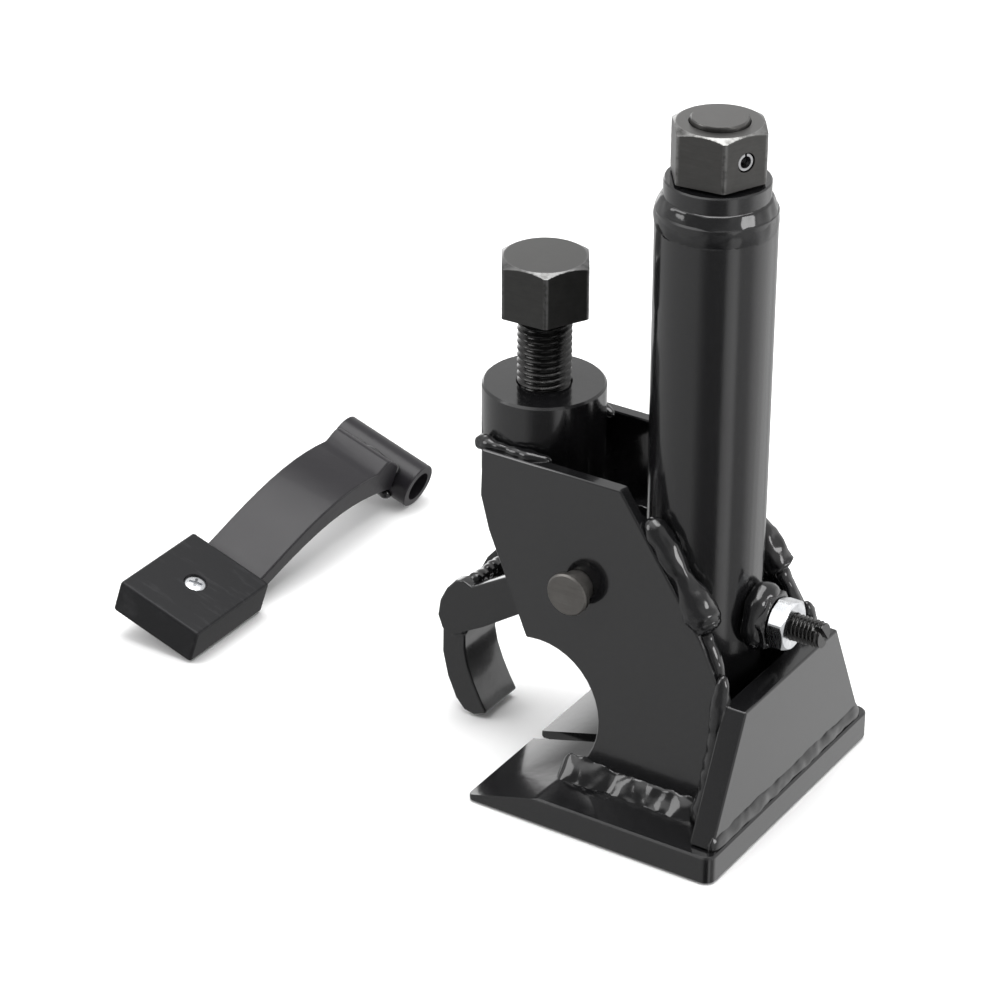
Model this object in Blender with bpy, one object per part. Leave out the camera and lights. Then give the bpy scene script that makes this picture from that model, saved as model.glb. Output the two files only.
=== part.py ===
"""Hand-cranked bead breaker for tyre service, as an assembly of separate parts.

Frame: +Z up, -X is the front (hook side), Y runs across the tool.  The origin is
on the ram's axis at the underside of the foot.  Lengths are in metres.
"""
import bpy
import bmesh
from math import asin, cos, degrees, pi, radians, sin, sqrt, tan
from mathutils import Matrix, Vector

MM = 0.001
GAP = 0.3 * MM                      # clearance between pieces that touch

# ---------------------------------------------------------------- driving sizes
FOOT_WIDTH = 116.4 * MM
FOOT_FRONT_X = -60.6 * MM
FOOT_REAR_X = 38.4 * MM
FOOT_THICK = 11.0 * MM
FOOT_TIP_THICK = 2.6 * MM
FOOT_BEVEL_X = -31.5 * MM           # where the wedge reaches full thickness
FOOT_SLOT_Y = -11.5 * MM
FOOT_SLOT_WIDTH = 6.0 * MM
FOOT_CORNER = 4.0 * MM

TUBE_R = 20.65 * MM
TUBE_BORE_R = 17.0 * MM
TUBE_TOP_Z = 224.0 * MM

RAM_R = 16.7 * MM
RAM_TOP_Z = 190.0 * MM
RAM_BORE_R = 10.3 * MM
RAM_BORE_FLOOR_Z = 30.0 * MM
RAM_TRAVEL = 75.0 * MM
KEYWAY_WIDTH = 9.0 * MM
KEYWAY_DEPTH = 4.2 * MM

SCREW_R = 10.0 * MM
SCREW_BOTTOM_Z = 34.0 * MM
SCREW_TOP_Z = 255.4 * MM
SCREW_FLANGE_R = 15.0 * MM
SCREW_FLANGE_Z = (197.0 * MM, 204.0 * MM)
WASHER_THICK = 2.4 * MM

BUSH_R = 18.05 * MM
BUSH_TOP_Z = 234.0 * MM

HEX_FLATS = 30.0 * MM               # both hexagons take the same 30 mm socket
DRIVE_HEX_Z = (235.1 * MM, 253.8 * MM)
DRIVE_HEX_TURN = radians(-54.2)
ROLL_PIN_R = 3.2 * MM
ROLL_PIN_BORE_R = 2.1 * MM

PLATE_THICK = 5.0 * MM
PLATE_TOP_Z = 123.5 * MM
PLATE_TOP_Y = 27.3 * MM             # outer face at the top edge
PLATE_FLARE = 0.082                 # outward lean towards the foot

BOSS_X = -66.3 * MM
BOSS_R = 22.0 * MM
BOSS_Z = (106.0 * MM, 141.0 * MM)
BOLT_R = 9.65 * MM
BOLT_HEAD_Z = (168.7 * MM, 189.0 * MM)
BOLT_TURN = radians(-57.4)

PIN_X = -32.8 * MM
PIN_Z = 83.4 * MM
PIN_R = 6.0 * MM
PIN_HEAD_R = 8.0 * MM

NOTCH_X = -47.2 * MM
NOTCH_Z = 32.0 * MM
NOTCH_R = 25.7 * MM

CHEEK_THICK = 5.0 * MM
CHEEK_OUTER_Y = 16.0 * MM
CHEEK_EYE_R = 12.5 * MM
PIVOT_TUBE_R = 9.5 * MM
PIVOT_TUBE_HALF = 24.0 * MM
CROSS_BAR_R = 7.0 * MM
CROSS_BAR_Z = 61.2 * MM
HOOK_HALF_WIDTH = 10.7 * MM

GUSSET_FRONT_X = 27.3 * MM
GUSSET_REAR_X = 36.3 * MM
GUSSET_TOP_Z = 56.5 * MM
GUSSET_TOP_HALF = 33.0 * MM
GUSSET_FOOT_HALF = 54.0 * MM

GUIDE_Z = 74.2 * MM
GUIDE_R = 5.0 * MM
GUIDE_END_X = 47.6 * MM
GUIDE_TIP_X = 13.4 * MM
WELD_NUT_X = (20.2 * MM, 29.2 * MM)
WELD_NUT_FLATS = 19.0 * MM
LOCK_NUT_X = (29.5 * MM, 36.0 * MM)
LOCK_NUT_FLATS = 17.0 * MM

SPARE_PAD = Vector((-217.6, -14.7, 0.0)) * MM   # floor point under the pad's centre
SPARE_ROLL = radians(18.0)                      # the arm lies rolled onto its inner edge
SPARE_LENGTH = 126.0 * MM                       # pad centre to pivot tube
SPARE_RISE_U = 25.0 * MM                        # where the bar leaves the pad
SPARE_TUBE_R = 9.6 * MM
SPARE_TUBE_HALF = 20.0 * MM
SPARE_BAR_WIDTH = 27.0 * MM
SPARE_PAD_SIZE = (38.0 * MM, 46.0 * MM, 14.5 * MM)

ROUND = 32                          # sides of an ordinary round piece
ROUND_FINE = 48                     # sides of the tube, the ram and the boss


# ---------------------------------------------------------------- helpers
def clear_scene():
    """Remove everything the file starts with."""
    for item in list(bpy.data.objects):
        bpy.data.objects.remove(item, do_unlink=True)


def material(name, colour, roughness, metallic=0.0):
    """Return a Principled material, made once for each name."""
    found = bpy.data.materials.get(name)
    if found:
        return found
    made = bpy.data.materials.new(name)
    made.use_nodes = True
    shader = made.node_tree.nodes["Principled BSDF"]
    shader.inputs["Base Color"].default_value = (*colour, 1.0)
    shader.inputs["Roughness"].default_value = roughness
    shader.inputs["Metallic"].default_value = metallic
    return made


def black_paint():
    return material("black_paint", (0.016, 0.016, 0.018), 0.22)


def black_oxide():
    return material("black_oxide", (0.085, 0.085, 0.085), 0.42, 0.9)


def bright_steel():
    return material("bright_steel", (0.55, 0.55, 0.56), 0.32, 1.0)


def zinc():
    return material("zinc", (0.78, 0.79, 0.80), 0.28, 1.0)


def black_nylon():
    return material("black_nylon", (0.02, 0.02, 0.021), 0.5)


def bronze():
    return material("bronze", (0.50, 0.33, 0.15), 0.4, 1.0)


def add_object(name, mesh, finish=None, parent=None):
    """Link a mesh as a named object."""
    made = bpy.data.objects.new(name, mesh)
    bpy.context.scene.collection.objects.link(made)
    if finish:
        mesh.materials.append(finish)
    made.parent = parent
    return made


def add_axis(name, place, turn=None):
    """Empty that carries a moving group on its joint's axis."""
    made = bpy.data.objects.new(name, None)
    bpy.context.scene.collection.objects.link(made)
    made.location = place
    if turn:
        made.rotation_euler = turn
    return made


def mesh_from(builder, name, smooth_deg=None):
    """Turn a filled bmesh into a mesh with its faces pointing out."""
    bmesh.ops.recalc_face_normals(builder, faces=builder.faces)
    mesh = bpy.data.meshes.new(name)
    builder.to_mesh(mesh)
    builder.free()
    if smooth_deg:
        mesh.shade_smooth()
        mesh.set_sharp_from_angle(angle=radians(smooth_deg))
    return mesh


def prism(name, outline, low, high, plane="XZ", smooth_deg=None):
    """Extrude a closed outline.  XZ outlines run along Y, YZ along X, XY along Z."""
    def place(a, b, depth):
        if plane == "XZ":
            return (a, depth, b)
        if plane == "YZ":
            return (depth, a, b)
        return (a, b, depth)

    builder = bmesh.new()
    ring = [builder.verts.new(place(a, b, low)) for a, b in outline]
    face = builder.faces.new(ring)
    grown = bmesh.ops.extrude_face_region(builder, geom=[face])
    step = Vector(place(0.0, 0.0, high - low))
    verts = [item for item in grown["geom"] if isinstance(item, bmesh.types.BMVert)]
    bmesh.ops.translate(builder, verts=verts, vec=step)
    return mesh_from(builder, name, smooth_deg)


def turned(name, profile, sides=ROUND, closed=False, smooth_deg=35):
    """Spin a radius-height profile about Z.  A closed profile makes a ring."""
    builder = bmesh.new()
    points = [builder.verts.new((radius, 0.0, height)) for radius, height in profile]
    edges = [builder.edges.new(pair) for pair in zip(points, points[1:])]
    if closed:
        edges.append(builder.edges.new((points[-1], points[0])))
    bmesh.ops.spin(builder, geom=points + edges, cent=(0, 0, 0), axis=(0, 0, 1),
                   angle=2 * pi, steps=sides, use_merge=True)
    bmesh.ops.remove_doubles(builder, verts=builder.verts, dist=1e-6)
    return mesh_from(builder, name, smooth_deg)


def rod(name, radius, low, high, chamfer=0.0, sides=ROUND):
    """Solid round bar along Z with chamfered ends."""
    profile = [(0.0, low), (radius - chamfer, low)]
    if chamfer:
        profile.append((radius, low + chamfer))
        profile.append((radius, high - chamfer))
    else:
        profile.append((radius, high))
    if chamfer:
        profile.append((radius - chamfer, high))
    profile.append((0.0, high))
    return turned(name, profile, sides)


def pipe(name, outer, inner, low, high, chamfer=0.4 * MM, sides=ROUND):
    """Open round tube along Z."""
    profile = [(inner, low), (outer - chamfer, low), (outer, low + chamfer),
               (outer, high - chamfer), (outer - chamfer, high), (inner, high)]
    return turned(name, profile, sides, closed=True)


def hexagon(flats, turn=0.0):
    """Corner points of a hexagon of this width across its flats."""
    radius = flats / sqrt(3.0)
    return [(radius * cos(turn + k * pi / 3), radius * sin(turn + k * pi / 3))
            for k in range(6)]


def place_mesh(mesh, matrix):
    """Turn and move a mesh within its object."""
    mesh.transform(matrix)
    mesh.update()
    return mesh


def along_y(mesh, x=0.0, z=0.0):
    """Lay a piece that was made along Z onto the Y direction at x, z."""
    return place_mesh(mesh, Matrix.Translation((x, 0.0, z)) @ Matrix.Rotation(pi / 2, 4, "X"))


def along_x(mesh, y=0.0, z=0.0):
    """Lay a piece that was made along Z onto the X direction at y, z."""
    return place_mesh(mesh, Matrix.Translation((0.0, y, z)) @ Matrix.Rotation(pi / 2, 4, "Y"))


def boolean(target, mesh, label, operation="DIFFERENCE"):
    """Cut, keep or join with a hidden helper body."""
    helper = add_object(f"{target.name}_{label}", mesh)
    helper.parent = target.parent
    helper.hide_render = True
    helper.display_type = "WIRE"
    step = target.modifiers.new(label, "BOOLEAN")
    step.operation = operation
    step.solver = "EXACT"
    step.object = helper
    return helper


def soften(target, width, segments=1, angle=32):
    """Break the sharp edges of a piece."""
    step = target.modifiers.new("edges", "BEVEL")
    step.width = width
    step.segments = segments
    step.limit_method = "ANGLE"
    step.angle_limit = radians(angle)
    step.use_clamp_overlap = True
    return step


def arc(x, z, radius, start_deg, end_deg, steps):
    """Points along a circular arc, in degrees from +X."""
    span = end_deg - start_deg
    return [(x + radius * cos(radians(start_deg + span * k / steps)),
             z + radius * sin(radians(start_deg + span * k / steps)))
            for k in range(steps + 1)]


def plate_outer_y(z):
    """Distance of a side plate's outer face from the middle plane at height z."""
    return PLATE_TOP_Y + (PLATE_TOP_Z - z) * PLATE_FLARE


# ---------------------------------------------------------------- welded frame
def build_foot():
    """Wedge foot: ram hole, and a narrow slot that runs out through the tip."""
    half = FOOT_WIDTH / 2
    round_off = FOOT_CORNER
    outline = arc(FOOT_REAR_X - round_off, -half + round_off, round_off, -90, 0, 4)
    outline += arc(FOOT_REAR_X - round_off, half - round_off, round_off, 0, 90, 4)
    outline += arc(FOOT_FRONT_X + 2 * MM, half - 2 * MM, 2 * MM, 90, 180, 3)
    outline += arc(FOOT_FRONT_X + 2 * MM, -half + 2 * MM, 2 * MM, 180, 270, 3)
    foot = add_object("foot_plate", prism("foot_plate", outline, 0.0, FOOT_THICK, "XY"),
                      black_paint())
    soften(foot, 0.7 * MM)
    rise = (FOOT_THICK - FOOT_TIP_THICK) / (FOOT_BEVEL_X - FOOT_FRONT_X)
    far = 20 * MM
    wedge = [(FOOT_FRONT_X - far, FOOT_TIP_THICK - rise * far),
             (FOOT_BEVEL_X, FOOT_THICK),
             (FOOT_BEVEL_X + far, FOOT_THICK + rise * far),
             (FOOT_FRONT_X - far, FOOT_THICK + far)]
    boolean(foot, prism("wedge", wedge, -half - far, half + far), "wedge")
    bore = rod("bore", TUBE_BORE_R, -5 * MM, FOOT_THICK + 5 * MM, sides=ROUND_FINE)
    boolean(foot, bore, "bore")
    low = FOOT_SLOT_Y - FOOT_SLOT_WIDTH / 2
    high = FOOT_SLOT_Y + FOOT_SLOT_WIDTH / 2
    slot = [(FOOT_FRONT_X - far, low), (-9 * MM, low), (-9 * MM, high),
            (FOOT_FRONT_X - far, high)]
    boolean(foot, prism("slot", slot, -5 * MM, FOOT_THICK + 5 * MM, "XY"), "slot")


def side_plate_outline():
    """Side view of a side plate, with the round rim notch at its front."""
    bottom = FOOT_THICK + GAP
    end_angle = degrees(asin((bottom - NOTCH_Z) / NOTCH_R))
    outline = [(-74.7 * MM, PLATE_TOP_Z), (-18.6 * MM, PLATE_TOP_Z), (16.3 * MM, 77.5 * MM),
               (24.7 * MM, 62.0 * MM), (21.0 * MM, bottom)]
    outline += arc(NOTCH_X, NOTCH_Z, NOTCH_R, end_angle, 98, 18)
    outline += [(-52.7 * MM, 57.2 * MM), (-70.4 * MM, 93.7 * MM), (-74.4 * MM, 106.0 * MM)]
    return outline


def build_side_plate(name, side):
    """Flared side plate on the side -1 (left) or +1 (right)."""
    inner = PLATE_TOP_Y - PLATE_THICK
    low, high = sorted((side * inner, side * PLATE_TOP_Y))
    mesh = prism(name, side_plate_outline(), low, high)
    lean = Matrix.Identity(4)
    lean[1][2] = -side * PLATE_FLARE
    lean[1][3] = side * PLATE_FLARE * PLATE_TOP_Z
    place_mesh(mesh, lean)
    plate = add_object(name, mesh, black_paint())
    soften(plate, 0.5 * MM, angle=50)
    reach = 60 * MM
    hole = along_y(rod("hole", PIN_R + GAP, -reach, reach), PIN_X, PIN_Z)
    boolean(plate, hole, "pin_hole")


def build_gusset():
    """Tapered plate that closes the back of the frame."""
    bottom = FOOT_THICK + GAP
    outline = [(-GUSSET_FOOT_HALF, bottom), (GUSSET_FOOT_HALF, bottom),
               (GUSSET_TOP_HALF, GUSSET_TOP_Z), (-GUSSET_TOP_HALF, GUSSET_TOP_Z)]
    mesh = prism("rear_gusset", outline, GUSSET_FRONT_X, GUSSET_REAR_X, "YZ")
    gusset = add_object("rear_gusset", mesh, black_paint())
    soften(gusset, 0.8 * MM, 2)


def build_tube():
    """Barrel tube that houses the ram, with a cross hole for the guide screw."""
    mesh = pipe("barrel_tube", TUBE_R, TUBE_BORE_R, FOOT_THICK + GAP, TUBE_TOP_Z,
                0.6 * MM, ROUND_FINE)
    tube = add_object("barrel_tube", mesh, black_paint())
    hole = along_x(rod("hole", GUIDE_R + GAP, 8 * MM, 30 * MM), 0.0, GUIDE_Z)
    boolean(tube, hole, "guide_hole")
    mill = along_x(rod("spot_face", 12.0 * MM, WELD_NUT_X[0] - GAP, 30 * MM), 0.0, GUIDE_Z)
    boolean(tube, mill, "spot_face")


def build_top_bush():
    """Collar at the head of the tube; it carries the drive screw's thrust."""
    inner = SCREW_R + GAP
    spigot = TUBE_BORE_R - GAP
    bottom = SCREW_FLANGE_Z[1] + WASHER_THICK + 2 * GAP
    shoulder = TUBE_TOP_Z + GAP
    profile = [(inner, bottom), (spigot - 0.5 * MM, bottom), (spigot, bottom + 0.5 * MM),
               (spigot, shoulder), (BUSH_R, shoulder), (BUSH_R, BUSH_TOP_Z - 0.5 * MM),
               (BUSH_R - 0.5 * MM, BUSH_TOP_Z), (inner, BUSH_TOP_Z)]
    add_object("top_bush", turned("top_bush", profile, closed=True), black_paint())


def build_boss():
    """Threaded round boss between the side plates, for the clamp bolt."""
    mesh = pipe("clamp_boss", BOSS_R, BOLT_R + GAP, BOSS_Z[0], BOSS_Z[1], 0.8 * MM, ROUND_FINE)
    place_mesh(mesh, Matrix.Translation((BOSS_X, 0.0, 0.0)))
    add_object("clamp_boss", mesh, black_paint())


def build_guide_screw():
    """Guide screw, its welded nut and its lock nut, on the back of the tube."""
    nut = prism("guide_weld_nut", hexagon(WELD_NUT_FLATS, radians(17)), *WELD_NUT_X, "XY")
    nut = add_object("guide_weld_nut", along_x(nut, 0.0, GUIDE_Z), black_paint())
    hole = along_x(rod("hole", GUIDE_R + GAP, 10 * MM, 60 * MM), 0.0, GUIDE_Z)
    boolean(nut, hole, "thread")
    blank = prism("guide_lock_nut", hexagon(LOCK_NUT_FLATS, radians(8)), *LOCK_NUT_X, "XY")
    lock = add_object("guide_lock_nut", along_x(blank, 0.0, GUIDE_Z), zinc())
    corner = LOCK_NUT_FLATS / sqrt(3.0)
    keep = rod("keep", corner, *LOCK_NUT_X, 0.9 * MM)
    keep = along_x(keep, 0.0, GUIDE_Z)
    boolean(lock, keep, "chamfer", "INTERSECT")
    hole = along_x(rod("hole", GUIDE_R + GAP, 10 * MM, 60 * MM), 0.0, GUIDE_Z)
    boolean(lock, hole, "thread")
    dog = GUIDE_R - 1.0 * MM
    neck = 17.4 * MM
    profile = [(0.0, GUIDE_TIP_X), (dog, GUIDE_TIP_X), (dog, neck), (GUIDE_R, neck + 1 * MM),
               (GUIDE_R, GUIDE_END_X - 1 * MM), (GUIDE_R - 1 * MM, GUIDE_END_X),
               (0.0, GUIDE_END_X)]
    screw = along_x(turned("guide_screw", profile), 0.0, GUIDE_Z)
    screw = add_object("guide_screw", screw, black_oxide())
    depth = 2.6 * MM
    width = 0.8 * MM
    blade = [(-8 * MM, -width), (8 * MM, -width), (8 * MM, width), (-8 * MM, width)]
    mesh = prism("blade", blade, GUIDE_END_X - depth, GUIDE_END_X + 5 * MM, "YZ")
    turn = Matrix.Rotation(radians(-52), 4, "X")
    place_mesh(mesh, Matrix.Translation((0.0, 0.0, GUIDE_Z)) @ turn)
    boolean(screw, mesh, "slot")


# ---------------------------------------------------------------- drive and ram
def build_drive():
    """Lead screw with its thrust flange, drive hexagon, roll pin and washer."""
    axis = add_axis("drive_axis", (0.0, 0.0, DRIVE_HEX_Z[0]))
    lift = Matrix.Translation((0.0, 0.0, -DRIVE_HEX_Z[0]))
    pin_angle = DRIVE_HEX_TURN + pi / 6
    pin_z = (DRIVE_HEX_Z[0] + DRIVE_HEX_Z[1]) / 2
    across = Matrix.Rotation(pin_angle, 4, "Z") @ Matrix.Rotation(pi / 2, 4, "Y")
    across = Matrix.Translation((0.0, 0.0, pin_z)) @ across

    def pin_hole(target):
        mesh = rod("hole", ROLL_PIN_R + GAP, -30 * MM, 30 * MM, sides=32)
        boolean(target, place_mesh(mesh, lift @ across), "pin_hole")

    low, high = SCREW_FLANGE_Z
    profile = [(0.0, SCREW_BOTTOM_Z), (SCREW_R - 1 * MM, SCREW_BOTTOM_Z),
               (SCREW_R, SCREW_BOTTOM_Z + 1 * MM), (SCREW_R, low), (SCREW_FLANGE_R, low),
               (SCREW_FLANGE_R, high), (SCREW_R, high), (SCREW_R, SCREW_TOP_Z - 0.7 * MM),
               (SCREW_R - 0.7 * MM, SCREW_TOP_Z), (0.0, SCREW_TOP_Z)]
    screw = place_mesh(turned("drive_screw", profile), lift)
    screw = add_object("drive_screw", screw, black_oxide(), axis)
    pin_hole(screw)

    head = prism("drive_hex", hexagon(HEX_FLATS, DRIVE_HEX_TURN), *DRIVE_HEX_Z, "XY")
    head = add_object("drive_hex", place_mesh(head, lift), black_oxide(), axis)
    boolean(head, place_mesh(hex_envelope(DRIVE_HEX_Z, HEX_FLATS), lift), "chamfer", "INTERSECT")
    bore = rod("bore", SCREW_R + GAP, DRIVE_HEX_Z[0] - 5 * MM, DRIVE_HEX_Z[1] + 5 * MM)
    boolean(head, place_mesh(bore, lift), "bore")
    pin_hole(head)

    half = HEX_FLATS / 2 - 0.4 * MM
    mesh = pipe("roll_pin", ROLL_PIN_R, ROLL_PIN_BORE_R, -half, half, 0.3 * MM, 32)
    pin = add_object("roll_pin", place_mesh(mesh, lift @ across), bright_steel(), axis)
    slit = [(-6 * MM, -0.4 * MM), (0.0, -0.4 * MM), (0.0, 0.4 * MM), (-6 * MM, 0.4 * MM)]
    slit = prism("slit", slit, -half - 5 * MM, half + 5 * MM, "XY")
    boolean(pin, place_mesh(slit, lift @ across), "slit")

    bottom = SCREW_FLANGE_Z[1] + GAP
    washer = pipe("thrust_washer", SCREW_FLANGE_R, SCREW_R + GAP, bottom,
                  bottom + WASHER_THICK, 0.3 * MM)
    add_object("thrust_washer", place_mesh(washer, lift), bronze(), axis)


def hex_envelope(span, flats):
    """Turned blank that rounds off the top corners of a hexagon."""
    low, high = span
    corner = flats / sqrt(3.0) + 0.2 * MM
    rim = flats / 2 * 0.965
    drop = (corner - rim) * tan(radians(30))
    profile = [(0.0, low), (corner, low), (corner, high - drop), (rim, high), (0.0, high)]
    return turned("hex_envelope", profile, ROUND_FINE)


def build_ram():
    """Round ram with a blind threaded bore and a keyway down its back."""
    axis = add_axis("ram_axis", (0.0, 0.0, 0.0))
    chamfer = 1.0 * MM
    profile = [(0.0, 0.0), (RAM_R - chamfer, 0.0), (RAM_R, chamfer),
               (RAM_R, RAM_TOP_Z - chamfer), (RAM_R - chamfer, RAM_TOP_Z),
               (RAM_BORE_R, RAM_TOP_Z), (RAM_BORE_R, RAM_BORE_FLOOR_Z),
               (0.0, RAM_BORE_FLOOR_Z)]
    ram = add_object("ram", turned("ram", profile, ROUND_FINE), bright_steel(), axis)
    half = KEYWAY_WIDTH / 2
    low = GUIDE_Z - 7 * MM
    high = GUIDE_Z + RAM_TRAVEL + 7 * MM
    key = [(RAM_R - KEYWAY_DEPTH, -half), (RAM_R + 5 * MM, -half), (RAM_R + 5 * MM, half),
           (RAM_R - KEYWAY_DEPTH, half)]
    boolean(ram, prism("keyway", key, low, high, "XY"), "keyway")


# ---------------------------------------------------------------- clamp
def build_clamp_bolt():
    """Large hexagon bolt that pushes the clamp arm down."""
    bottom = CROSS_BAR_Z + CROSS_BAR_R + GAP
    axis = add_axis("clamp_bolt_axis", (BOSS_X, 0.0, 0.0))
    head = prism("clamp_bolt", hexagon(HEX_FLATS, BOLT_TURN), *BOLT_HEAD_Z, "XY")
    bolt = add_object("clamp_bolt", head, black_oxide(), axis)
    boolean(bolt, hex_envelope(BOLT_HEAD_Z, HEX_FLATS), "chamfer", "INTERSECT")
    shank = [(0.0, bottom), (BOLT_R - 1.5 * MM, bottom), (BOLT_R, bottom + 1.5 * MM),
             (BOLT_R, BOLT_HEAD_Z[0] + 2 * MM), (0.0, BOLT_HEAD_Z[0] + 2 * MM)]
    boolean(bolt, turned("shank", shank), "shank", "UNION")


def cheek_outline():
    """Side view of a clamp arm cheek, from the round eye down to its blunt nose."""
    rise = tan(radians(29.6))
    top = [(-86.7 * MM, 58.6 * MM)]
    top_z = top[0][1] + (PIN_X - 9 * MM - top[0][0]) * rise
    eye = arc(PIN_X, PIN_Z, CHEEK_EYE_R, 150, -118, 22)
    nose = [(-81.6 * MM, 43.4 * MM), (-95.5 * MM, 35.6 * MM), (-99.3 * MM, 37.4 * MM),
            (-101.2 * MM, 42.4 * MM), (-100.2 * MM, 49.0 * MM), (-97.4 * MM, 54.6 * MM),
            (-93.6 * MM, 59.2 * MM), (-90.2 * MM, 60.2 * MM)]
    return [(PIN_X - 11 * MM, top_z), *eye, *nose, *top]


def hook_profile():
    """Side view of the hook, an arched bar that hangs from the nose of the arm."""
    outer = [(-97.8 * MM, 52.0 * MM), (-100.6 * MM, 44.0 * MM), (-102.6 * MM, 34.0 * MM),
             (-102.8 * MM, 24.0 * MM), (-100.6 * MM, 13.8 * MM), (-97.0 * MM, 5.6 * MM),
             (-93.4 * MM, 1.6 * MM), (-89.0 * MM, 0.7 * MM)]
    inner = [(-83.6 * MM, 3.0 * MM), (-86.4 * MM, 8.0 * MM), (-89.4 * MM, 14.4 * MM),
             (-91.8 * MM, 21.0 * MM), (-93.0 * MM, 27.5 * MM), (-92.8 * MM, 34.0 * MM),
             (-90.8 * MM, 41.0 * MM), (-86.0 * MM, 46.5 * MM), (-88.0 * MM, 55.0 * MM)]
    return outer + inner


def build_clamp_arm():
    """Hinged clamp arm: two cheeks, the hook, the pivot tube and the cross bar."""
    axis = add_axis("clamp_arm_axis", (PIN_X, 0.0, PIN_Z))
    shift = Matrix.Translation((-PIN_X, 0.0, -PIN_Z))
    reach = 40 * MM
    for name, side in (("clamp_cheek_left", -1), ("clamp_cheek_right", 1)):
        low, high = sorted((side * CHEEK_OUTER_Y, side * (CHEEK_OUTER_Y - CHEEK_THICK)))
        mesh = place_mesh(prism(name, cheek_outline(), low, high), shift)
        cheek = add_object(name, mesh, black_paint(), axis)
        soften(cheek, 0.5 * MM, angle=50)
        hole = along_y(rod("eye", PIVOT_TUBE_R + GAP, -reach, reach))
        boolean(cheek, hole, "eye")
    mesh = prism("clamp_hook", hook_profile(), -HOOK_HALF_WIDTH, HOOK_HALF_WIDTH)
    hook = add_object("clamp_hook", place_mesh(mesh, shift), black_paint(), axis)
    soften(hook, 0.8 * MM, 2, angle=50)
    tube = pipe("clamp_pivot_tube", PIVOT_TUBE_R, PIN_R + GAP, -PIVOT_TUBE_HALF,
                PIVOT_TUBE_HALF)
    add_object("clamp_pivot_tube", along_y(tube), black_paint(), axis)
    half = CHEEK_OUTER_Y - CHEEK_THICK - GAP
    bar = along_y(rod("clamp_cross_bar", CROSS_BAR_R, -half, half, 0.5 * MM),
                  BOSS_X - PIN_X, CROSS_BAR_Z - PIN_Z)
    add_object("clamp_cross_bar", bar, black_paint(), axis)


def build_pivot_pin():
    """Loose pin with a disc head that stands off the left side plate."""
    face = plate_outer_y(PIN_Z)
    head_in = face + 5.3 * MM
    head_out = head_in + 2.6 * MM
    tail = face + 3.0 * MM
    axis = add_axis("pivot_pin_axis", (PIN_X, 0.0, PIN_Z))
    profile = [(0.0, -tail), (PIN_R - 1.5 * MM, -tail), (PIN_R, -tail + 1.5 * MM),
               (PIN_R, head_in), (PIN_HEAD_R, head_in), (PIN_HEAD_R, head_out - 0.6 * MM),
               (PIN_HEAD_R - 0.6 * MM, head_out), (0.0, head_out)]
    add_object("pivot_pin", along_y(turned("pivot_pin", profile)), black_oxide(), axis)


# ---------------------------------------------------------------- spare arm
def spare_bar_outline():
    """Side view of the spare arm's bar: arched, with a raised stop by the tube."""
    def crown(u):
        """Height of the bar's middle line."""
        share = (u - SPARE_RISE_U) / (SPARE_LENGTH - SPARE_RISE_U)
        share = max(0.0, min(1.0, share))
        return 5.0 * MM + 13.0 * MM * sin(pi * share) + 6.6 * MM * share
    steps = 12
    half = 4.5 * MM
    start = -16.0 * MM
    end = SPARE_LENGTH - SPARE_TUBE_R - GAP
    flat = SPARE_RISE_U - 1 * MM
    span = [start] + [flat + (end - flat) * k / steps for k in range(steps + 1)]
    thick = [half + 2.0 * MM * max(0.0, u) / SPARE_LENGTH for u in span]
    lower = [(u, crown(u) - t) for u, t in zip(span, thick)]
    upper = [(u, crown(u) + t) for u, t in zip(span, thick)]
    tooth_u = SPARE_LENGTH - 21 * MM
    tooth = [(tooth_u + 3.5 * MM, crown(tooth_u) + 9.6 * MM),
             (tooth_u, crown(tooth_u) + 10.4 * MM),
             (tooth_u - 5 * MM, crown(tooth_u) + 7.2 * MM)]
    after = [p for p in upper if p[0] > tooth_u + 5 * MM]
    before = [p for p in upper if p[0] < tooth_u - 7 * MM]
    return lower + after[::-1] + tooth + before[::-1]


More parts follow.
